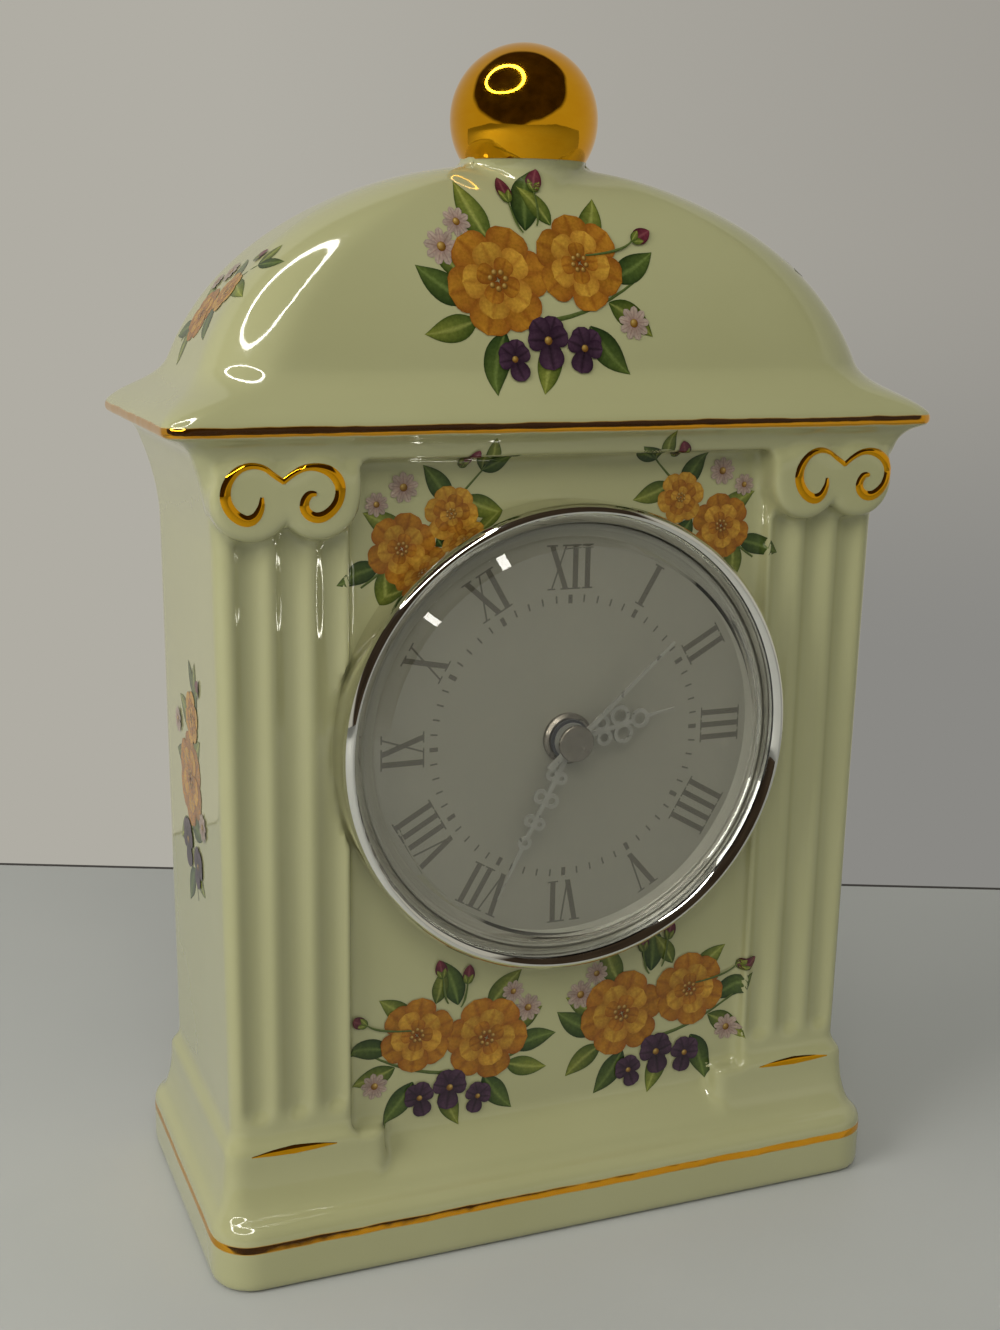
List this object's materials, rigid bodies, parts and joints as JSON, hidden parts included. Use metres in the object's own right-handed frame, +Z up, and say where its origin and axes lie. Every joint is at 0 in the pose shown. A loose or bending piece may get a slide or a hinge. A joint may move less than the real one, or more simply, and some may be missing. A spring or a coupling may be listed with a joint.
{
  "type": "mantel clock",
  "caption": "Porcelain mantel clock with a domed top, ball finial, fluted pilasters, gilded edges and a round push-fit quartz insert with Roman numerals.",
  "frame": {"origin": "middle of the base, on the surface that the clock stands on", "axes": "+Z up, -Y out of the dial, +X to the right as the dial is read"},
  "size_m": [0.1506, 0.0702, 0.2261],
  "materials": {
    "porcelain": "soft glaze, gilded lines",
    "bezel_chrome": "polished",
    "glass": "clear",
    "satin_ring": "satin",
    "dial_face": "fine matt silver",
    "plated_nut": "polished",
    "cup_plastic": "fine grain",
    "rubber": "matt",
    "movement_plastic": "fine grain",
    "gear_plastic": "moulded",
    "copper_wire": "lacquered copper",
    "steel": "rolled",
    "board": "solder mask",
    "can_metal": "drawn",
    "battery_sleeve": "printed sleeve, plain",
    "hand_metal": "polished",
    "magnet": "sintered"
  },
  "bodies": {
    "case": {"case": "porcelain"},
    "insert": {"bezel": "bezel_chrome", "lens": "glass", "dial_ring": "satin_ring", "dial": "dial_face", "dial_nut": "plated_nut", "insert_cup": "cup_plastic", "grip_ring": "rubber", "movement_front_case": "movement_plastic", "movement_back_cover": "movement_plastic", "train_bridge": "gear_plastic", "coil_bobbin": "movement_plastic", "coil_winding": "copper_wire", "stator": "steel", "circuit_board": "board", "quartz_crystal": "can_metal", "positive_contact": "steel", "negative_contact": "steel"},
    "battery": {"battery": "battery_sleeve"},
    "minute": {"minute_hand": "hand_metal", "cannon_pinion": "gear_plastic"},
    "hour": {"hour_hand": "hand_metal", "hour_wheel": "gear_plastic"},
    "motion": {"motion_wheel": "gear_plastic", "set_knob": "movement_plastic"},
    "seconds": {"second_hand": "hand_metal", "second_hand_cap": "hand_metal", "seconds_wheel": "gear_plastic"},
    "third": {"third_wheel": "gear_plastic"},
    "centre": {"centre_wheel": "gear_plastic"},
    "fifth": {"fifth_wheel": "gear_plastic"},
    "rotor": {"rotor_magnet": "magnet", "rotor_pinion": "gear_plastic"}
  },
  "joints": [
    {"name": "insert_pull", "type": "slide", "parent": "case", "child": "insert", "axis": [0, -1, 0], "range_m": [0, 0.04]},
    {"name": "battery_lift", "type": "slide", "parent": "insert", "child": "battery", "axis": [0, 1, 0], "range_m": [0, 0.016]},
    {"name": "minute_turn", "type": "hinge", "parent": "insert", "child": "minute", "pos_m": [0, 0, 0.099], "axis": [0, 1, 0], "continuous": true},
    {"name": "hour_turn", "type": "hinge", "parent": "insert", "child": "hour", "pos_m": [0, 0, 0.099], "axis": [0, 1, 0], "continuous": true},
    {"name": "motion_turn", "type": "hinge", "parent": "insert", "child": "motion", "pos_m": [-0.00902, 0, 0.10228], "axis": [0, 1, 0], "continuous": true},
    {"name": "seconds_turn", "type": "hinge", "parent": "insert", "child": "seconds", "pos_m": [0, 0, 0.099], "axis": [0, 1, 0], "continuous": true},
    {"name": "third_turn", "type": "hinge", "parent": "insert", "child": "third", "pos_m": [0.00846, 0, 0.10208], "axis": [0, 1, 0], "continuous": true},
    {"name": "centre_turn", "type": "hinge", "parent": "insert", "child": "centre", "pos_m": [0, 0, 0.099], "axis": [0, 1, 0], "continuous": true},
    {"name": "fifth_turn", "type": "hinge", "parent": "insert", "child": "fifth", "pos_m": [0, 0, 0.1062], "axis": [0, 1, 0], "continuous": true},
    {"name": "rotor_turn", "type": "hinge", "parent": "insert", "child": "rotor", "pos_m": [0.00495, 0, 0.11115], "axis": [0, 1, 0], "continuous": true}
  ],
  "couplings": [
    {"joint": "hour_turn", "follows": "minute_turn", "ratio": 0.083333},
    {"joint": "motion_turn", "follows": "minute_turn", "ratio": -0.33333},
    {"joint": "third_turn", "follows": "seconds_turn", "ratio": -0.125},
    {"joint": "centre_turn", "follows": "seconds_turn", "ratio": 0.016667},
    {"joint": "fifth_turn", "follows": "seconds_turn", "ratio": -5},
    {"joint": "rotor_turn", "follows": "seconds_turn", "ratio": 30}
  ]
}
